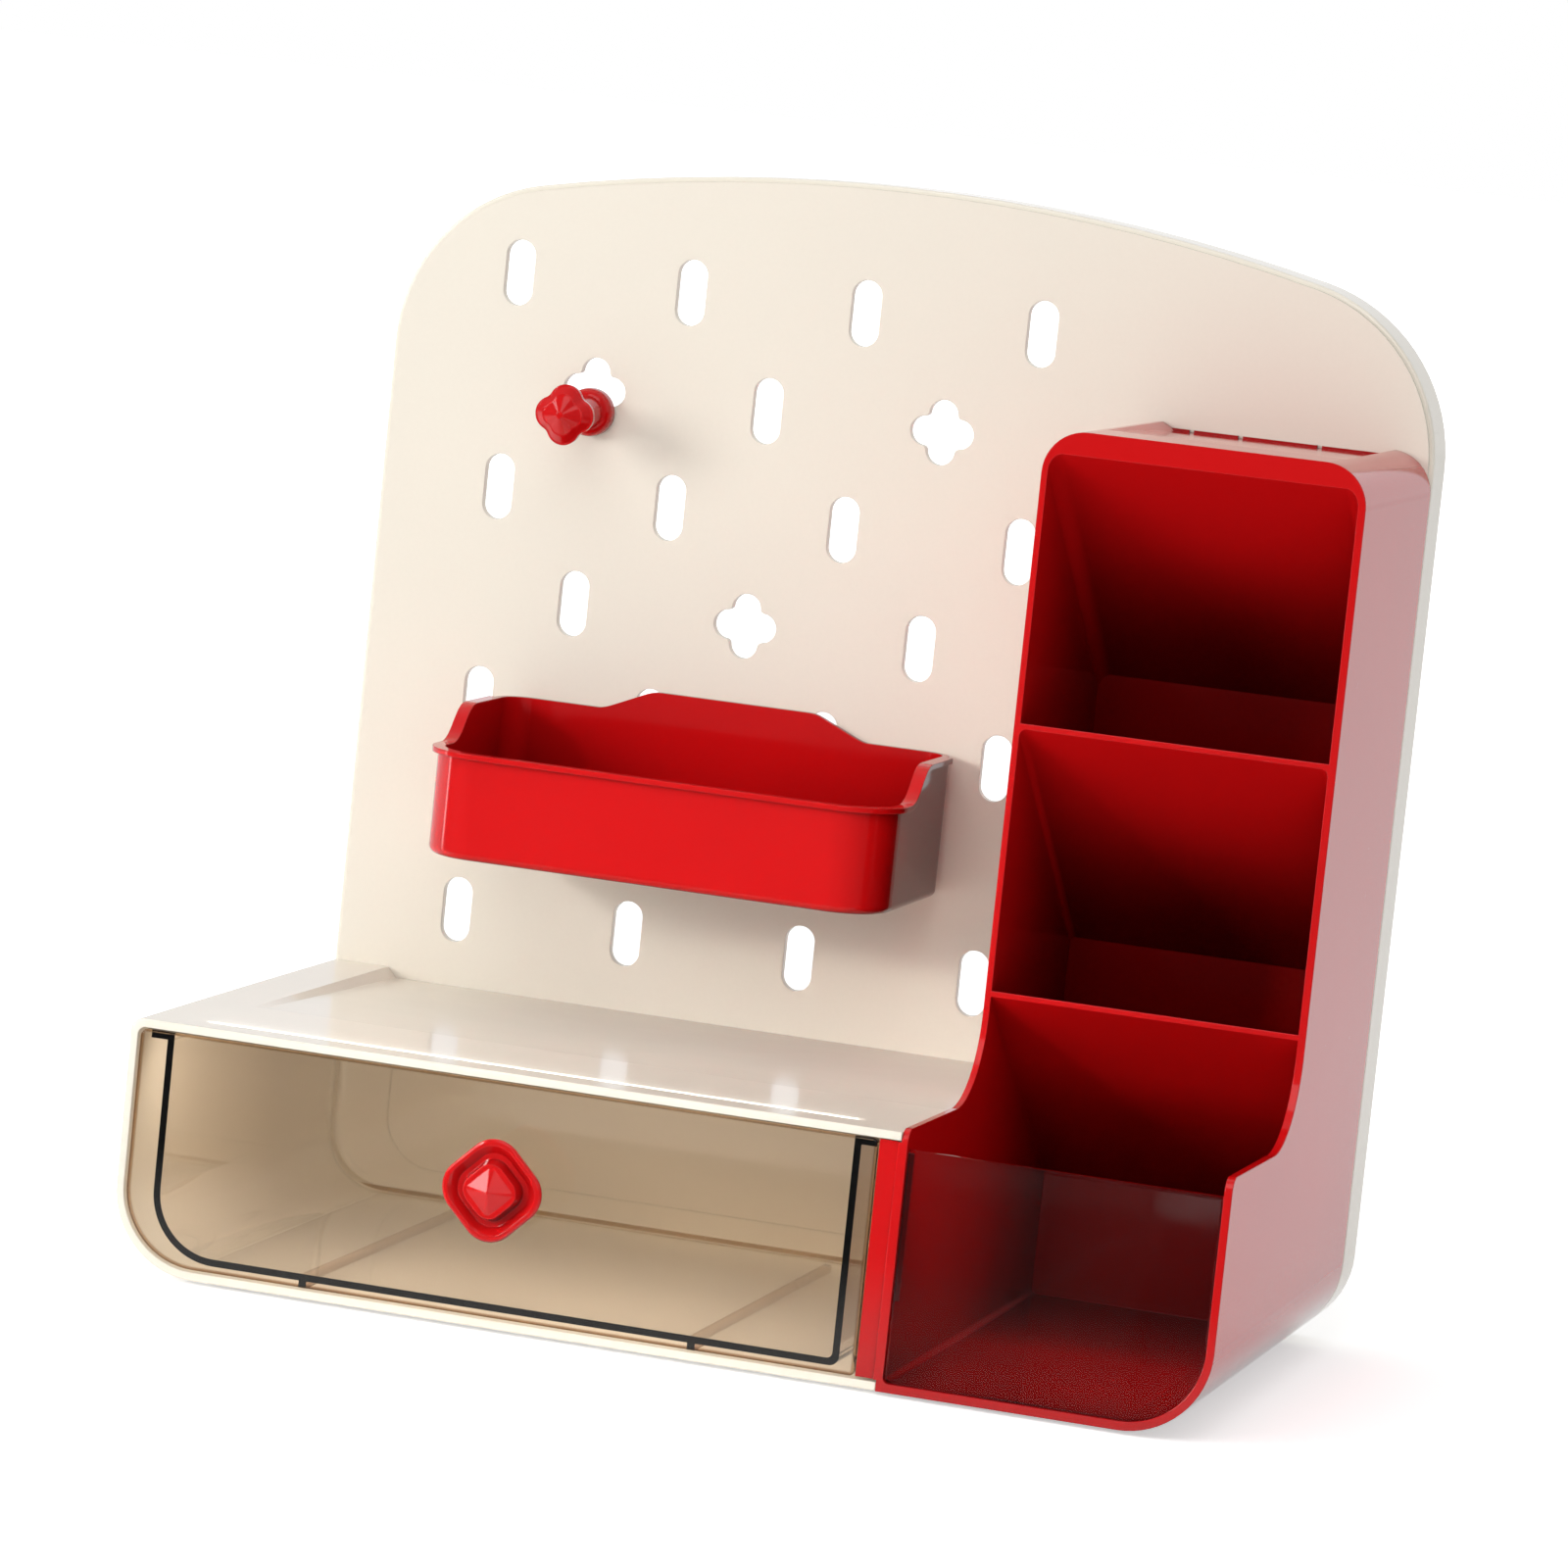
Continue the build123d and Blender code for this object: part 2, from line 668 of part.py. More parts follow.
def drawer_room():
    """The hollow of the tub, open above."""
    back = TUB_BACK - TUB_WALL
    face = rounded(
        TUB_LEFT + TUB_WALL, TUB_RIGHT - TUB_WALL, TUB_BOTTOM + TUB_WALL, TUB_FRONT_TOP + 5,
        low_left=TUB_CORNER - TUB_WALL, low_right=1.5,
    )
    room = along_y(face, DRAWER_FRONT + FRONT_THICK, back)
    return fillet(edges_at(room.edges().filter_by(Axis.Z), Axis.Y, back), 2.5)


def drawer():
    """One moulding: a front plate, and a tub a little narrower, on two runners."""
    tub_front = DRAWER_FRONT + FRONT_THICK - 0.5
    body = drawer_plate() + drawer_tub(tub_front) - drawer_room()
    for x in RUNNERS:
        left = x - RUNNER_WIDTH / 2
        low = FLOOR + RUNNER_GAP
        high = TUB_BOTTOM + 0.3
        body += block(left, left + RUNNER_WIDTH, tub_front, RUNNER_BACK, low, high)
    hole = Pos(KNOB_X, KNOB_Z) * Circle(SCREW / 2 + 0.3)
    return body - along_y(hole, DRAWER_FRONT - 1, DRAWER_FRONT + 2 * FRONT_THICK)


def knob_bell():
    """The stem widens into a squared bell with a rounded rim."""
    stem = loft([
        Pos(0, 0, 3.5) * squircle(KNOB_NECK - 2.9, 0.8),
        Pos(0, 0, 8.5) * squircle(KNOB_NECK, 0.6),
    ])
    bell = loft([
        Pos(0, 0, 8.5) * squircle(KNOB_NECK, 0.6),
        Pos(0, 0, 11.2) * squircle(KNOB_RIM - 1.4, KNOB_SOFTNESS),
        Pos(0, 0, 13.4) * squircle(KNOB_RIM, KNOB_SOFTNESS),
    ], ruled=True)
    body = upright_cylinder(KNOB_FOOT_RADIUS, 4.0) + stem + bell
    return fillet(body.edges().sort_by(Axis.Z)[-8:], 0.8)


def knob():
    """Squared knob on its corner: round foot, dished rim, four-sided crown."""
    dish = loft([
        Pos(0, 0, 11.6) * squircle(KNOB_RIM - KNOB_DISH, KNOB_SOFTNESS),
        Pos(0, 0, 13.5) * squircle(KNOB_RIM - 3.6, KNOB_SOFTNESS),
    ], ruled=True)
    table = loft([
        Pos(0, 0, 11.0) * squircle(KNOB_TABLE + 2.2, KNOB_SOFTNESS),
        Pos(0, 0, 14.6) * squircle(KNOB_TABLE, KNOB_SOFTNESS),
    ], ruled=True)
    crown = loft([
        Pos(0, 0, 14.4) * squircle(KNOB_TABLE - 0.6, 0.3),
        Pos(0, 0, KNOB_REACH) * squircle(0.8, 0.3),
    ], ruled=True)
    pilot = Pos(0, 0, -0.1) * upright_cylinder(PILOT_RADIUS, 9.1)
    body = knob_bell() - dish + table + crown - pilot
    return Pos(KNOB_X, DRAWER_FRONT, KNOB_Z) * Rot(90, 0, 0) * body


def knob_screw():
    """Screw put in from inside the drawer, its head on the front plate."""
    inside = DRAWER_FRONT + FRONT_THICK + 0.05
    return Pos(KNOB_X, inside, KNOB_Z) * Rot(-90, 0, 0) * screw(KNOB_SCREW_LENGTH)


# ---- peg -------------------------------------------------------------------
def peg_neck():
    """Round base against the board, and a waisted neck."""
    disc = upright_cylinder(PEG_DISC_RADIUS, 5.2)
    disc = fillet(edges_at(disc, Axis.Z, 5.2), 3.0)
    neck = loft([
        Pos(0, 0, 3.0) * Circle(4.9),
        Pos(0, 0, 9.0) * Circle(3.9),
        Pos(0, 0, 19.0) * Circle(4.1),
    ])
    return disc + neck


def peg_head():
    """Four-lobed head with a bevel and a low crown."""
    head = loft([
        Pos(0, 0, 17.5) * lobed(8.6),
        Pos(0, 0, 21.4) * lobed(PEG_HEAD - 0.4),
        Pos(0, 0, 23.4) * lobed(PEG_HEAD),
    ], ruled=True)
    bevel = loft([
        Pos(0, 0, 23.3) * lobed(PEG_HEAD - 0.8),
        Pos(0, 0, 25.2) * lobed(PEG_CROWN),
    ], ruled=True)
    crown = loft([
        Pos(0, 0, 25.1) * lobed(PEG_CROWN - 0.2),
        Pos(0, 0, PEG_REACH - 0.6) * lobed(2.0),
    ], ruled=True)
    return head + bevel + crown


def peg():
    """Peg that rests in the low lobe of a hole, with a key down behind the board."""
    x = column_x(PEG_COLUMN)
    z = row_z(PEG_ROW) - CLOVER_SPAN / 2 + HANG_GAP + PEG_STEM_RADIUS
    front = Pos(0, 0, 0.6) * (peg_neck() + peg_head())
    stem = Pos(0, 0, -KEY_FRONT - 0.2) * upright_cylinder(PEG_STEM_RADIUS, KEY_FRONT + 1.0)
    key_height = KEY_REACH + PEG_STEM_RADIUS
    key = Pos(0, key_height / 2 - KEY_REACH) * SlotOverall(key_height, KEY_WIDTH, rotation=90)
    key = along_z(key, -KEY_FRONT - KEY_THICK, -KEY_FRONT)
    return Pos(x, 0, z) * Rot(90, 0, 0) * (front + stem + key)


# ---- basket ----------------------------------------------------------------
def under_basket_edge():
    """Everything under the basket's upper edge: high behind, low in front."""
    back = 1.0
    front = BASKET_FRONT - 3
    bottom = BASKET_BOTTOM - 1
    sweep_middle = ((SWEEP_BACK + SWEEP_FRONT) / 2, (BASKET_BACK_TOP + BASKET_FRONT_TOP) / 2)
    sweep = Spline(
        (SWEEP_BACK, BASKET_BACK_TOP), sweep_middle, (SWEEP_FRONT, BASKET_FRONT_TOP),
        tangents=((-1, 0), (-1, 0)),
    )
    lines = [
        Line((back, bottom), (back, BASKET_BACK_TOP)),
        Line((back, BASKET_BACK_TOP), (SWEEP_BACK, BASKET_BACK_TOP)),
        sweep,
        Line((SWEEP_FRONT, BASKET_FRONT_TOP), (front, BASKET_FRONT_TOP)),
        Line((front, BASKET_FRONT_TOP), (front, bottom)),
        Line((front, bottom), (back, bottom)),
    ]
    return along_x(make_face(Curve() + lines), BASKET_LEFT - 5, BASKET_RIGHT + 5)


def basket_plan(inset):
    """Plan of the basket: round front corners, tighter ones at the board."""
    front = BASKET_CORNER - inset
    back = BASKET_BACK_CORNER - inset
    return rounded(
        BASKET_LEFT + inset, BASKET_RIGHT - inset,
        BASKET_FRONT + inset, BASKET_BACK - inset,
        front, front, back, back,
    )


def basket_lip(under_edge):
    """A thin lip that follows the upper edge, outside the walls."""
    plan = basket_plan(-BASKET_LIP) - basket_plan(0.5)
    lip = along_z(plan, BASKET_FRONT_TOP - 4, BASKET_BACK_TOP + 1) & under_edge
    lip -= Pos(0, 0, -BASKET_LIP_THICK) * under_edge
    left = BASKET_LEFT - 3
    right = BASKET_RIGHT + 3
    in_front = block(left, right, BASKET_FRONT - 3, BASKET_LIP_BACK, BASKET_BOTTOM, BASKET_TAB_TOP)
    return lip & in_front


def basket_tab():
    """The raised tab in the middle of the back wall, which rises in an s-curve."""
    middle = column_x(1.5)
    foot = BASKET_BACK_TOP - 8
    shoulder = BASKET_BACK_TOP - 0.2
    end = TAB_HALF + TAB_FOOT_ROUND
    face = outline([
        (middle - end, foot),
        (middle - end, shoulder),
        (middle - TAB_HALF, shoulder),
        (middle - TAB_TOP_HALF, BASKET_TAB_TOP),
        (middle + TAB_TOP_HALF, BASKET_TAB_TOP),
        (middle + TAB_HALF, shoulder),
        (middle + end, shoulder),
        (middle + end, foot),
    ])
    feet = [v for v in face.vertices() if v.Y > foot + 1 and abs(abs(v.X - middle) - TAB_HALF) < 0.1]
    face = fillet(feet, TAB_FOOT_ROUND)
    top_corners = [v for v in face.vertices() if v.Y > BASKET_TAB_TOP - 0.1]
    return along_y(fillet(top_corners, TAB_ROUND), BASKET_BACK - BASKET_WALL, BASKET_BACK)


def basket_hook(x, slot_bottom):
    """A neck through the slot and a tongue that hangs behind the board."""
    width = SLOT_WIDTH - HOOK_PLAY
    neck_low = slot_bottom + HANG_GAP
    neck_top = neck_low + HOOK_NECK
    tongue_back = SHEET + 0.4 + HOOK_THICK
    neck = Pos(x, neck_top - HOOK_NECK / 2) * SlotOverall(HOOK_NECK, width, rotation=90)
    tongue = Pos(x, neck_top - HOOK_TONGUE / 2) * SlotOverall(HOOK_TONGUE, width, rotation=90)
    neck = along_y(neck, BASKET_BACK - 0.3, tongue_back)
    return neck + along_y(tongue, SHEET + 0.4, tongue_back)


def basket():
    height = BASKET_BACK_TOP + 1
    under_edge = under_basket_edge()
    shell = along_z(basket_plan(0), BASKET_BOTTOM, height)
    shell = fillet(edges_at(shell, Axis.Z, BASKET_BOTTOM), 2.0)
    shell = (shell & under_edge) + basket_lip(under_edge)
    room_floor = BASKET_BOTTOM + BASKET_WALL
    room = along_z(basket_plan(BASKET_WALL), room_floor, height + 1)
    room = fillet(edges_at(room, Axis.Z, room_floor), 1.2)
    shell = shell - room + basket_tab()
    for column in HOOK_COLUMNS:
        shell += basket_hook(column_x(column), row_z(HOOK_ROW) - SLOT_HEIGHT / 2)
    return shell


# ---- the parts -------------------------------------------------------------
def all_parts():
    parts = {
        "pegboard_panel": pegboard(),
        "panel_screws": board_screws(),
        "drawer_housing": housing(),
        "side_tower": tower(),
        "tower_guard": guard(),
        "smoke_drawer": drawer(),
        "drawer_knob": knob(),
        "knob_screw": knob_screw(),
        "hanging_basket": basket(),
        "hook_peg": peg(),
    }
    for name, place in pad_places(HOUSING_PAD_COLUMNS | TOWER_PAD_COLUMNS).items():
        parts[name] = foot_pad(place)
    return parts


os.makedirs("parts", exist_ok=True)
for name, solid in all_parts().items():
    part = settle(solid)
    export_step(part, f"parts/{name}.step")
    box = part.bounding_box()
    volume = sum(piece.volume for piece in part.solids())
    print(name, len(part.solids()), round(volume), box.min, box.max)
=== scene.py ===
import json
import math

import bpy
from mathutils import Matrix, Vector

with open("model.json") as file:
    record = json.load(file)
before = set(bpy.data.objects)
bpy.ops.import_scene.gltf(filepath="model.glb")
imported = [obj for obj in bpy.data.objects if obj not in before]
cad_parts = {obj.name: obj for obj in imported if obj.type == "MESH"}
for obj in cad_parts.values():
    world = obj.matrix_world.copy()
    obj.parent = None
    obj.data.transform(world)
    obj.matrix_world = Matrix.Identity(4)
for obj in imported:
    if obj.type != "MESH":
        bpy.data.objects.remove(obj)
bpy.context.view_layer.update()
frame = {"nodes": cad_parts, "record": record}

# All lengths are in metres.

# ---- camera ----------------------------------------------------------------
# The photograph's camera, solved from the regular lattice of the board's holes.
CAMERA_PLACE = (0.49218, -1.74690, 0.34815)
CAMERA_TURN = 15.75        # degrees to the left of straight ahead
CAMERA_DIP = 6.65          # degrees under the horizon
CAMERA_ROLL = 5.95
CAMERA_LENS = 165.42       # in mm, as is the sensor's width
SENSOR_WIDTH = 36
NEAREST = 0.05
FARTHEST = 60

# ---- colours, as linear red, green and blue --------------------------------
CREAM = (0.855, 0.80, 0.695)
RED = (0.56, 0.0045, 0.0055)
SMOKE = (0.950, 0.912, 0.862)
SMOKE_PAINTED_SHADE = (0.42, 0.24, 0.12)    # painted shade: dark lines painted where one looks along the smoke plastic's edges
CLEAR = (0.955, 0.96, 0.962)
RUBBER = (0.06, 0.06, 0.062)
DUST = (0.2, 0.19, 0.18)
STEEL = (0.56, 0.56, 0.57)
WHITE = (1, 1, 1, 1)

# ---- surface detail --------------------------------------------------------
RIPPLE_HEIGHT = 0.0006
GRAIN_HEIGHT = 0.00004
SCUFF_HEIGHT = 0.00003
SCUFF_WIDTH = 0.05
SCUFF_START = 0.72         # share of the noise that stays free of scuffs
SCUFF_STRETCH = 14.0
CREAM_EDGE = 0.0004        # radius that sharp edges seem to have
RED_EDGE = 0.00045
SHADE_PAINT_REACH = 0.07        # painted shade: hollows of about this width are painted a darker red

# ---- edges of the drawer painted with dark lines of shade ------------------
PLATE_LEFT = -0.1395
PLATE_RIGHT = 0.0531
PLATE_LOW = 0.0035
PLATE_HIGH = 0.0625
PLATE_CORNER = 0.0195      # radius of the plate's lower left corner
PLATE_BACK = -0.0713
PLATE_BORDER = 0.0009      # width of the painted dark line of shade along its edge
RUNNER_TOP = 0.0049        # only the drawer's runners reach under this
TUB_BACK = 0.0566          # where the tub's floor meets its back wall
TUB_FLOOR = 0.0072

# ---- light -----------------------------------------------------------------
# Soft boxes: place, what the box faces, its width and height, and its watts.
SOFT_BOXES = {
    "key": ((-1.9, -1.6, 0.75), (0, 0, 0.15), (0.9, 0.9), 24),
    "strip": ((-0.80, -0.10, 0.33), (0, 0, 0.2), (0.05, 0.66), 0.7),
    "fill": ((0.5, -2.2, 0.5), (0, 0, 0.1), (1.0, 1.0), 3.5),
    "top": ((0.0, -1.3, 1.4), (0, -0.05, 0.06), (1.2, 1.2), 7.5),
}
FOOT_LAMP = ((-0.9, -1.3, 0.5), (-0.01, -0.03, 0.07), (0.2, 0.2), 0.06)
FOOT_COLOUR = (1, 0.96, 0.9)
FOOT_BEAM = 11             # degrees, for the foot of the board only
# Behind the drawer's plate. Its upper edge stands 1 mm out of the housing's top.
DRAWER_LAMP = ((-0.04, -0.066, 0.0605), (-0.04, 0.06, 0.01), (0.17, 0.012), 0.1)

WORLD_LEVEL = (0.38, 0.62)         # as light on the object, from the horizon and from above
FRONT_LEVEL = 0.22         # what reflections see in front of the object and at its left
FLOOR_COLOUR = (0.93, 0.93, 0.93)
FLOOR_CARD = (0.18, 0.18, 0.18)    # what reflections see of the floor in front
CARD_EDGE = (-0.25, -0.12)         # the card fades out between these
FLOOR_GLOW = (0.5, 0.85)   # added for the camera only, near and far
GLOW_RANGE = (0.4, 3.0)    # what near and far mean
MIRROR_GLOW = 0.4          # added for reflections of the floor beside and behind
FLOOR_HALF = 12.0
FLOOR_DROP = 0.0002        # the floor lies this far under the foot pads


# ---- material helpers ------------------------------------------------------
def new_material(name):
    """A node material with its Principled shader and its tree."""
    material = bpy.data.materials.new(name)
    material.use_nodes = True
    tree = material.node_tree
    return material, tree, tree.nodes["Principled BSDF"]


def add_node(tree, kind, **values):
    """A node whose inputs are set by name, with _ for each space."""
    made = tree.nodes.new(kind)
    for name, value in values.items():
        made.inputs[name.replace("_", " ")].default_value = value
    return made


def own_place(tree):
    """Where a point lies in the object's own space."""
    return tree.nodes.new("ShaderNodeTexCoord").outputs["Object"]


def split(tree, vector):
    """The x, y and z of a vector."""
    parts = tree.nodes.new("ShaderNodeSeparateXYZ")
    tree.links.new(vector, parts.inputs[0])
    return parts.outputs


def noise(tree, scale, detail=2.0, roughness=0.5):
    """Noise in the object's own space, so it doesn't slide or stretch."""
    made = add_node(tree, "ShaderNodeTexNoise", Scale=scale, Detail=detail, Roughness=roughness)
    tree.links.new(own_place(tree), made.inputs["Vector"])
    return made.outputs["Fac"]


def spread(tree, source, low, high, start=0.3, end=0.7):
    """Maps start to end of a value, the middle of a noise as it is, to low to high."""
    made = tree.nodes.new("ShaderNodeMapRange")
    made.inputs["From Min"].default_value = start
    made.inputs["From Max"].default_value = end
    made.inputs["To Min"].default_value = low
    made.inputs["To Max"].default_value = high
    tree.links.new(source, made.inputs["Value"])
    return made.outputs["Result"]


def blend_colours(tree, factor, first, second):
    """Mixes two plain colours, or the output of another mix, by a factor."""
    made = tree.nodes.new("ShaderNodeMix")
    made.data_type = "RGBA"
    tree.links.new(factor, made.inputs["Factor"])
    for socket, colour in ((made.inputs["A"], first), (made.inputs["B"], second)):
        if isinstance(colour, bpy.types.NodeSocket):
            tree.links.new(colour, socket)
        else:
            socket.default_value = (*colour, 1)
    return made.outputs["Result"]


def mix_shaders(tree, factor, first, second):
    """The first shader where the factor is 0, and the second where it is 1."""
    mix = tree.nodes.new("ShaderNodeMixShader")
    for socket, source in zip(mix.inputs, (factor, first, second)):
        tree.links.new(source, socket)
    return mix.outputs["Shader"]


def calculate(tree, operation, *values):
    """A math node; each value is a number or another node's output."""
    made = tree.nodes.new("ShaderNodeMath")
    made.operation = operation
    for socket, value in zip(made.inputs, values):
        if isinstance(value, bpy.types.NodeSocket):
            tree.links.new(value, socket)
        else:
            socket.default_value = value
    return made.outputs[0]


def shaded(colour, share):
    return tuple(channel * share for channel in colour)


def surface_relief(tree, shader, layers, edge=0.0):
    """Bumps over each other, each with its strength and height, over rounded edges."""
    normal = None
    if edge:
        rounder = tree.nodes.new("ShaderNodeBevel")
        rounder.samples = 4
        rounder.inputs["Radius"].default_value = edge
        normal = rounder.outputs["Normal"]
    for source, strength, height in layers:
        bump = add_node(tree, "ShaderNodeBump", Strength=strength, Distance=height)
        tree.links.new(source, bump.inputs["Height"])
        if normal is not None:
            tree.links.new(normal, bump.inputs["Normal"])
        normal = bump.outputs["Normal"]
    tree.links.new(normal, shader.inputs["Normal"])


def shelter(tree, reach):
    """1 in the open, and towards 0 in hollows and corners."""
    made = tree.nodes.new("ShaderNodeAmbientOcclusion")
    made.samples = 6
    made.inputs["Distance"].default_value = reach
    return made.outputs["AO"]


def scuffs(tree, scale):
    """Thin broken scratches: a stretched noise cut to a narrow band."""
    stretch = tree.nodes.new("ShaderNodeMapping")
    stretch.inputs["Rotation"].default_value = (0.4, 0.7, 0.9)
    stretch.inputs["Scale"].default_value = (1.0, SCUFF_STRETCH, 1.0)
    tree.links.new(own_place(tree), stretch.inputs["Vector"])
    lines = add_node(tree, "ShaderNodeTexNoise", Scale=scale, Detail=4.0, Roughness=0.6)
    tree.links.new(stretch.outputs["Vector"], lines.inputs["Vector"])
    return spread(tree, lines.outputs["Fac"], 0.0, 1.0, SCUFF_START, SCUFF_START + SCUFF_WIDTH)


def gloss_relief(tree, shader, ripple_scale, grain_scale, scuff_scale, grain_strength, edge):
    """The skin of a glossy moulding: a soft ripple, a fine grain and hairline scuffs."""
    layers = (
        (noise(tree, ripple_scale, 1.0), 0.02, RIPPLE_HEIGHT),
        (noise(tree, grain_scale, 2.0), grain_strength, GRAIN_HEIGHT),
        (scuffs(tree, scuff_scale), 0.03, SCUFF_HEIGHT),
    )
    surface_relief(tree, shader, layers, edge)


# ---- materials -------------------------------------------------------------
def cream_plastic():
    """Glossy ivory moulding with faint flow marks and specks."""
    material, tree, shader = new_material("cream_plastic")
    flow = spread(tree, noise(tree, 9.0, 3.0), 0, 1)
    speck = spread(tree, noise(tree, 900.0, 2.0), 0.0, 0.05)
    tone = blend_colours(tree, flow, shaded(CREAM, 0.985), shaded(CREAM, 1.01))
    tone = blend_colours(tree, speck, tone, shaded(CREAM, 0.8))
    tree.links.new(tone, shader.inputs["Base Color"])
    tree.links.new(spread(tree, noise(tree, 40.0, 4.0), 0.08, 0.13), shader.inputs["Roughness"])
    gloss_relief(tree, shader, 55.0, 1500.0, 60.0, 0.04, CREAM_EDGE)
    shader.inputs["IOR"].default_value = 1.49
    return material


def red_plastic():
    """Deep red gloss with faint flow marks, and painted shade that makes it much darker in hollows and
    corners.
    """
    material, tree, shader = new_material("red_plastic")
    flow = spread(tree, noise(tree, 12.0, 3.0), 0, 1)
    tone = blend_colours(tree, flow, shaded(RED, 0.95), shaded(RED, 1.04))
    # painted shade: a much darker red is blended in where the occlusion finds a hollow or corner
    painted_shade_red = blend_colours(tree, flow, shaded(RED, 0.13), shaded(RED, 0.16))
    unshaded_share = spread(tree, shelter(tree, SHADE_PAINT_REACH), 0, 1, 0.2, 0.6)
    tree.links.new(blend_colours(tree, unshaded_share, painted_shade_red, tone), shader.inputs["Base Color"])
    tree.links.new(spread(tree, noise(tree, 45.0, 4.0), 0.05, 0.10), shader.inputs["Roughness"])
    gloss_relief(tree, shader, 60.0, 1600.0, 70.0, 0.03, RED_EDGE)
    shader.inputs["IOR"].default_value = 1.5
    shader.inputs["Specular IOR Level"].default_value = 0.36
    return material


def see_through(name, colour, roughness, ior=1.46):
    """Polished clear plastic that lets the lamps' light through."""
    material, tree, shader = new_material(name)
    shader.inputs["Base Color"].default_value = (*colour, 1)
    shader.inputs["Transmission Weight"].default_value = 1.0
    shader.inputs["IOR"].default_value = ior
    tree.links.new(spread(tree, noise(tree, 50.0, 3.0), *roughness), shader.inputs["Roughness"])
    surface_relief(tree, shader, ((noise(tree, 38.0, 1.0), 0.04, 0.0005),))
    window = tree.nodes.new("ShaderNodeBsdfTransparent")
    window.inputs["Color"].default_value = (*colour, 1)
    path = tree.nodes.new("ShaderNodeLightPath").outputs
    unbent = calculate(tree, "MAXIMUM", path["Is Shadow Ray"], path["Is Diffuse Ray"])
    surface = mix_shaders(tree, unbent, shader.outputs["BSDF"], window.outputs["BSDF"])
    tree.links.new(surface, tree.nodes["Material Output"].inputs["Surface"])
    return material


def plate_shade_line(tree):
    """1 along the edge of the drawer's front plate, where a dark line of shade is painted, 0 elsewhere.
    """
    x, y, z = split(tree, own_place(tree))
    from_left = calculate(tree, "SUBTRACT", x, PLATE_LEFT)
    from_right = calculate(tree, "SUBTRACT", PLATE_RIGHT, x)
    from_low = calculate(tree, "SUBTRACT", z, PLATE_LOW)
    from_high = calculate(tree, "SUBTRACT", PLATE_HIGH, z)
    sides = calculate(tree, "MINIMUM", from_left, from_right)
    ends = calculate(tree, "MINIMUM", from_low, from_high)
    straight = calculate(tree, "MINIMUM", sides, ends)
    beside = calculate(tree, "MAXIMUM", calculate(tree, "SUBTRACT", PLATE_CORNER, from_left), 0.0)
    below = calculate(tree, "MAXIMUM", calculate(tree, "SUBTRACT", PLATE_CORNER, from_low), 0.0)
    beside_squared = calculate(tree, "POWER", beside, 2.0)
    below_squared = calculate(tree, "POWER", below, 2.0)
    from_centre = calculate(tree, "SQRT", calculate(tree, "ADD", beside_squared, below_squared))
    inset = calculate(tree, "MINIMUM", straight, calculate(tree, "SUBTRACT", PLATE_CORNER, from_centre))
    line = spread(tree, inset, 1.0, 0.0, PLATE_BORDER * 0.5, PLATE_BORDER)
    return calculate(tree, "MULTIPLY", line, calculate(tree, "LESS_THAN", y, PLATE_BACK))


def floor_shade_lines(tree):
    """1 on the drawer's runners and along the back edge of its floor, where dark lines of shade are
    painted, 0 elsewhere.
    """
    _, y, z = split(tree, own_place(tree))
    behind_plate = calculate(tree, "GREATER_THAN", y, PLATE_BACK)
    runner = calculate(tree, "MULTIPLY", calculate(tree, "LESS_THAN", z, RUNNER_TOP), behind_plate)
    at_back = calculate(tree, "GREATER_THAN", y, TUB_BACK)
    corner = calculate(tree, "MULTIPLY", calculate(tree, "LESS_THAN", z, TUB_FLOOR), at_back)
    return calculate(tree, "MAXIMUM", runner, corner)


def smoke_plastic():
    """Smoke-brown clear plastic with painted shade: dark lines painted where one looks along an edge of
    the moulding.
    """
    material = see_through("smoke_plastic", SMOKE, (0.02, 0.05))
    tree = material.node_tree
    # painted shade: the plate's edge, the runners and the tub's back corner get a dark brown painted on
    edges = calculate(tree, "MAXIMUM", plate_shade_line(tree), floor_shade_lines(tree))
    tone = blend_colours(tree, edges, SMOKE, SMOKE_PAINTED_SHADE)
    tree.links.new(tone, tree.nodes["Principled BSDF"].inputs["Base Color"])
    return material


def pad_rubber():
    """Dark matte rubber with a fine grain and pale dust."""
    material, tree, shader = new_material("pad_rubber")
    dusty = spread(tree, noise(tree, 300.0, 4.0), 0.0, 0.5, 0.5, 0.8)
    tree.links.new(blend_colours(tree, dusty, RUBBER, DUST), shader.inputs["Base Color"])
    tree.links.new(spread(tree, noise(tree, 500.0), 0.65, 0.85), shader.inputs["Roughness"])
    surface_relief(tree, shader, ((noise(tree, 1800.0, 3.0), 0.25, 0.0001),))
    return material


def screw_steel():
    """Zinc-plated steel with a fine grain and darker stains."""
    material, tree, shader = new_material("screw_steel")
    clean = spread(tree, noise(tree, 400.0, 3.0), 0, 1)
    tree.links.new(blend_colours(tree, clean, shaded(STEEL, 0.75), STEEL), shader.inputs["Base Color"])
    shader.inputs["Metallic"].default_value = 1.0
    tree.links.new(spread(tree, noise(tree, 700.0, 3.0), 0.25, 0.42), shader.inputs["Roughness"])
    surface_relief(tree, shader, ((noise(tree, 2500.0, 2.0), 0.12, 0.00005),))
    return material


MATERIALS = {
    "cream_plastic": cream_plastic(),
    "red_plastic": red_plastic(),
    "smoke_plastic": smoke_plastic(),
    "clear_plastic": see_through("clear_plastic", CLEAR, (0.02, 0.04), 1.13),
    "pad_rubber": pad_rubber(),
    "screw_steel": screw_steel(),
}


def dress_nodes():
    """Gives each CAD node the material of its slot in the record."""
    slots = {part["node"]: part["material_slot"] for part in frame["record"]["subparts"]}
    for name, node in frame["nodes"].items():
        node.data.materials.clear()
        node.data.materials.append(MATERIALS[slots[name]])


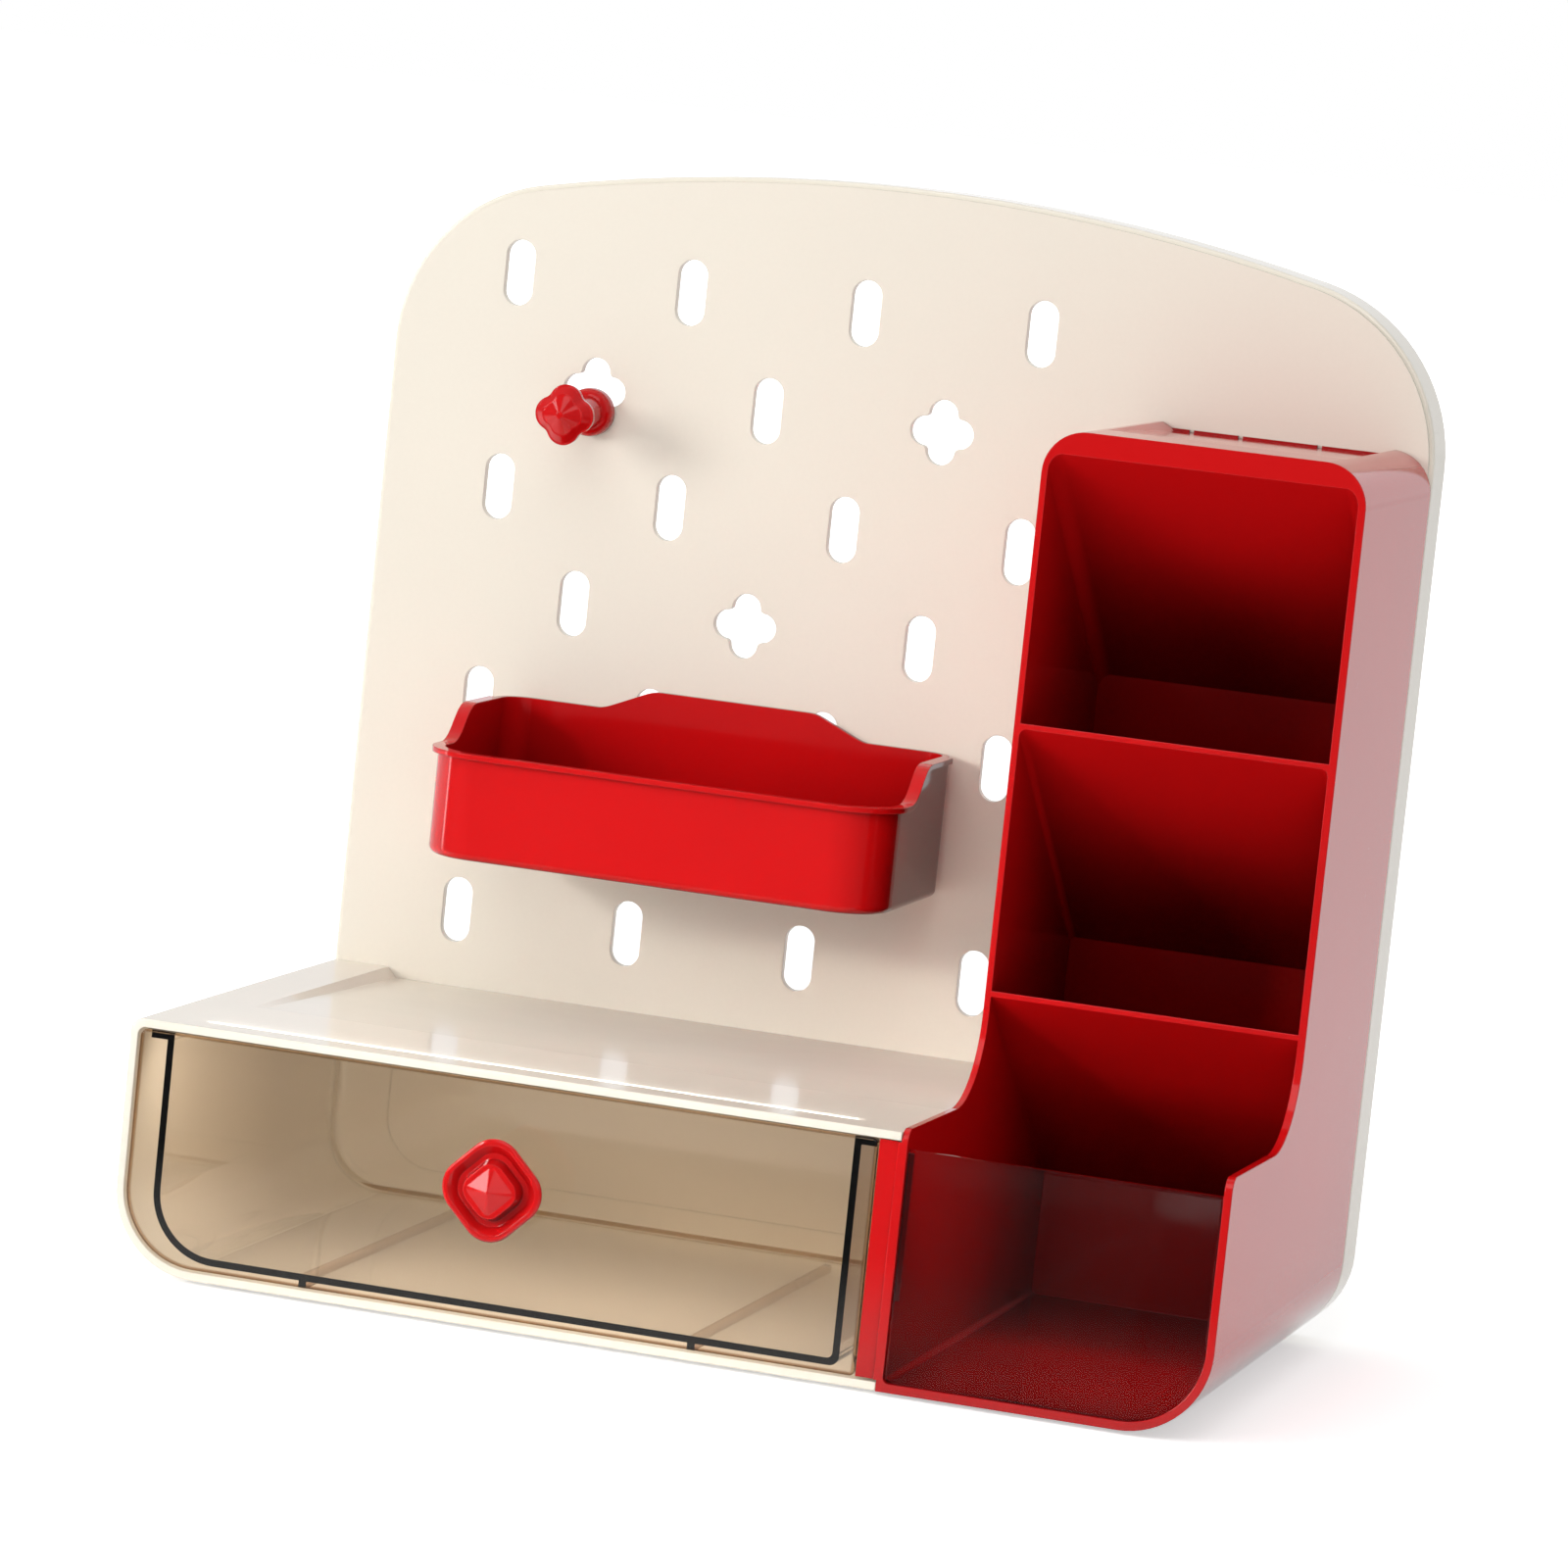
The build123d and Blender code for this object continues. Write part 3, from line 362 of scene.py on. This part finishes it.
# ---- stage -----------------------------------------------------------------
def floor_material():
    """Pale floor that keeps the object's shadow and melts into the background."""
    material, tree, shader = new_material("floor")
    shader.inputs["Roughness"].default_value = 0.9
    shader.inputs["Specular IOR Level"].default_value = 0.1
    path = tree.nodes.new("ShaderNodeLightPath").outputs
    place = own_place(tree)
    in_front = spread(tree, split(tree, place)["Y"], 1.0, 0.0, *CARD_EDGE)
    card = calculate(tree, "MULTIPLY", in_front, path["Is Glossy Ray"])
    tree.links.new(blend_colours(tree, card, FLOOR_COLOUR, FLOOR_CARD), shader.inputs["Base Color"])
    away = tree.nodes.new("ShaderNodeVectorMath")
    away.operation = "LENGTH"
    tree.links.new(place, away.inputs[0])
    glow = spread(tree, away.outputs["Value"], *FLOOR_GLOW, *GLOW_RANGE)
    seen_glow = calculate(tree, "MULTIPLY", glow, path["Is Camera Ray"])
    beside = calculate(tree, "SUBTRACT", path["Is Glossy Ray"], card)
    mirror_glow = calculate(tree, "MULTIPLY", beside, MIRROR_GLOW)
    total = calculate(tree, "ADD", seen_glow, mirror_glow)
    shader.inputs["Emission Color"].default_value = WHITE
    tree.links.new(total, shader.inputs["Emission Strength"])
    return material


def add_floor():
    mesh = bpy.data.meshes.new("floor")
    corners = [(x * FLOOR_HALF, y * FLOOR_HALF, 0) for x, y in ((-1, -1), (1, -1), (1, 1), (-1, 1))]
    mesh.from_pydata(corners, [], [(0, 1, 2, 3)])
    floor = bpy.data.objects.new("floor", mesh)
    bpy.context.scene.collection.objects.link(floor)
    floor.location.z = -FLOOR_DROP
    mesh.materials.append(floor_material())


def add_world():
    """White to the camera, brighter above as light, darker in front and left in mirrors."""
    world = bpy.data.worlds.new("studio")
    bpy.context.scene.world = world
    world.use_nodes = True
    tree = world.node_tree
    tree.nodes.clear()
    path = tree.nodes.new("ShaderNodeLightPath").outputs
    direction = tree.nodes.new("ShaderNodeTexCoord").outputs["Generated"]
    x, y, z = split(tree, direction)
    backward = spread(tree, y, 0.0, 1.0, -0.5, 0.3)
    rightward = spread(tree, x, 0.0, 1.0, -0.9, -0.3)
    bright = calculate(tree, "MULTIPLY", backward, rightward)
    soft = add_node(tree, "ShaderNodeBackground", Color=WHITE)
    tree.links.new(spread(tree, z, *WORLD_LEVEL, 0.0, 0.9), soft.inputs["Strength"])
    mirror = add_node(tree, "ShaderNodeBackground", Color=WHITE)
    tree.links.new(spread(tree, bright, FRONT_LEVEL, 1.0, 0.0, 1.0), mirror.inputs["Strength"])
    white = add_node(tree, "ShaderNodeBackground", Color=WHITE, Strength=1.0)
    sharp = calculate(tree, "MAXIMUM", path["Is Glossy Ray"], path["Is Transmission Ray"])
    unseen = mix_shaders(tree, sharp, soft.outputs[0], mirror.outputs[0])
    surface = mix_shaders(tree, path["Is Camera Ray"], unseen, white.outputs[0])
    output = tree.nodes.new("ShaderNodeOutputWorld")
    tree.links.new(surface, output.inputs["Surface"])


def add_lamp(name, place, target, size, power, colour=(1, 1, 1), beam=0):
    """A soft box at place that faces target; beam narrows its light, in degrees."""
    data = bpy.data.lights.new(name, "AREA")
    data.shape = "RECTANGLE"
    data.size, data.size_y = size
    data.energy = power
    data.color = colour
    if beam:
        data.spread = math.radians(beam)
    lamp = bpy.data.objects.new(name, data)
    bpy.context.scene.collection.objects.link(lamp)
    lamp.location = place
    aim = Vector(target) - Vector(place)
    lamp.rotation_euler = aim.to_track_quat("-Z", "Y").to_euler()
    lamp.visible_camera = False
    return lamp


def add_lamps():
    for name, box in SOFT_BOXES.items():
        add_lamp(name, *box)
    add_lamp("foot", *FOOT_LAMP, FOOT_COLOUR, FOOT_BEAM)
    inside = add_lamp("drawer_glow", *DRAWER_LAMP)
    inside.visible_glossy = False
    inside.visible_transmission = False


def add_camera():
    data = bpy.data.cameras.new("camera")
    data.sensor_width = SENSOR_WIDTH
    data.lens = CAMERA_LENS
    data.clip_start = NEAREST
    data.clip_end = FARTHEST
    camera = bpy.data.objects.new("camera", data)
    bpy.context.scene.collection.objects.link(camera)
    turn = Matrix.Rotation(math.radians(CAMERA_TURN), 4, "Z")
    tilt = Matrix.Rotation(math.radians(90 - CAMERA_DIP), 4, "X")
    roll = Matrix.Rotation(math.radians(CAMERA_ROLL), 4, "Z")
    camera.matrix_world = Matrix.Translation(CAMERA_PLACE) @ turn @ tilt @ roll
    bpy.context.scene.camera = camera


dress_nodes()
add_floor()
add_world()
add_lamps()
add_camera()

bpy.context.scene.view_settings.view_transform = "Standard"
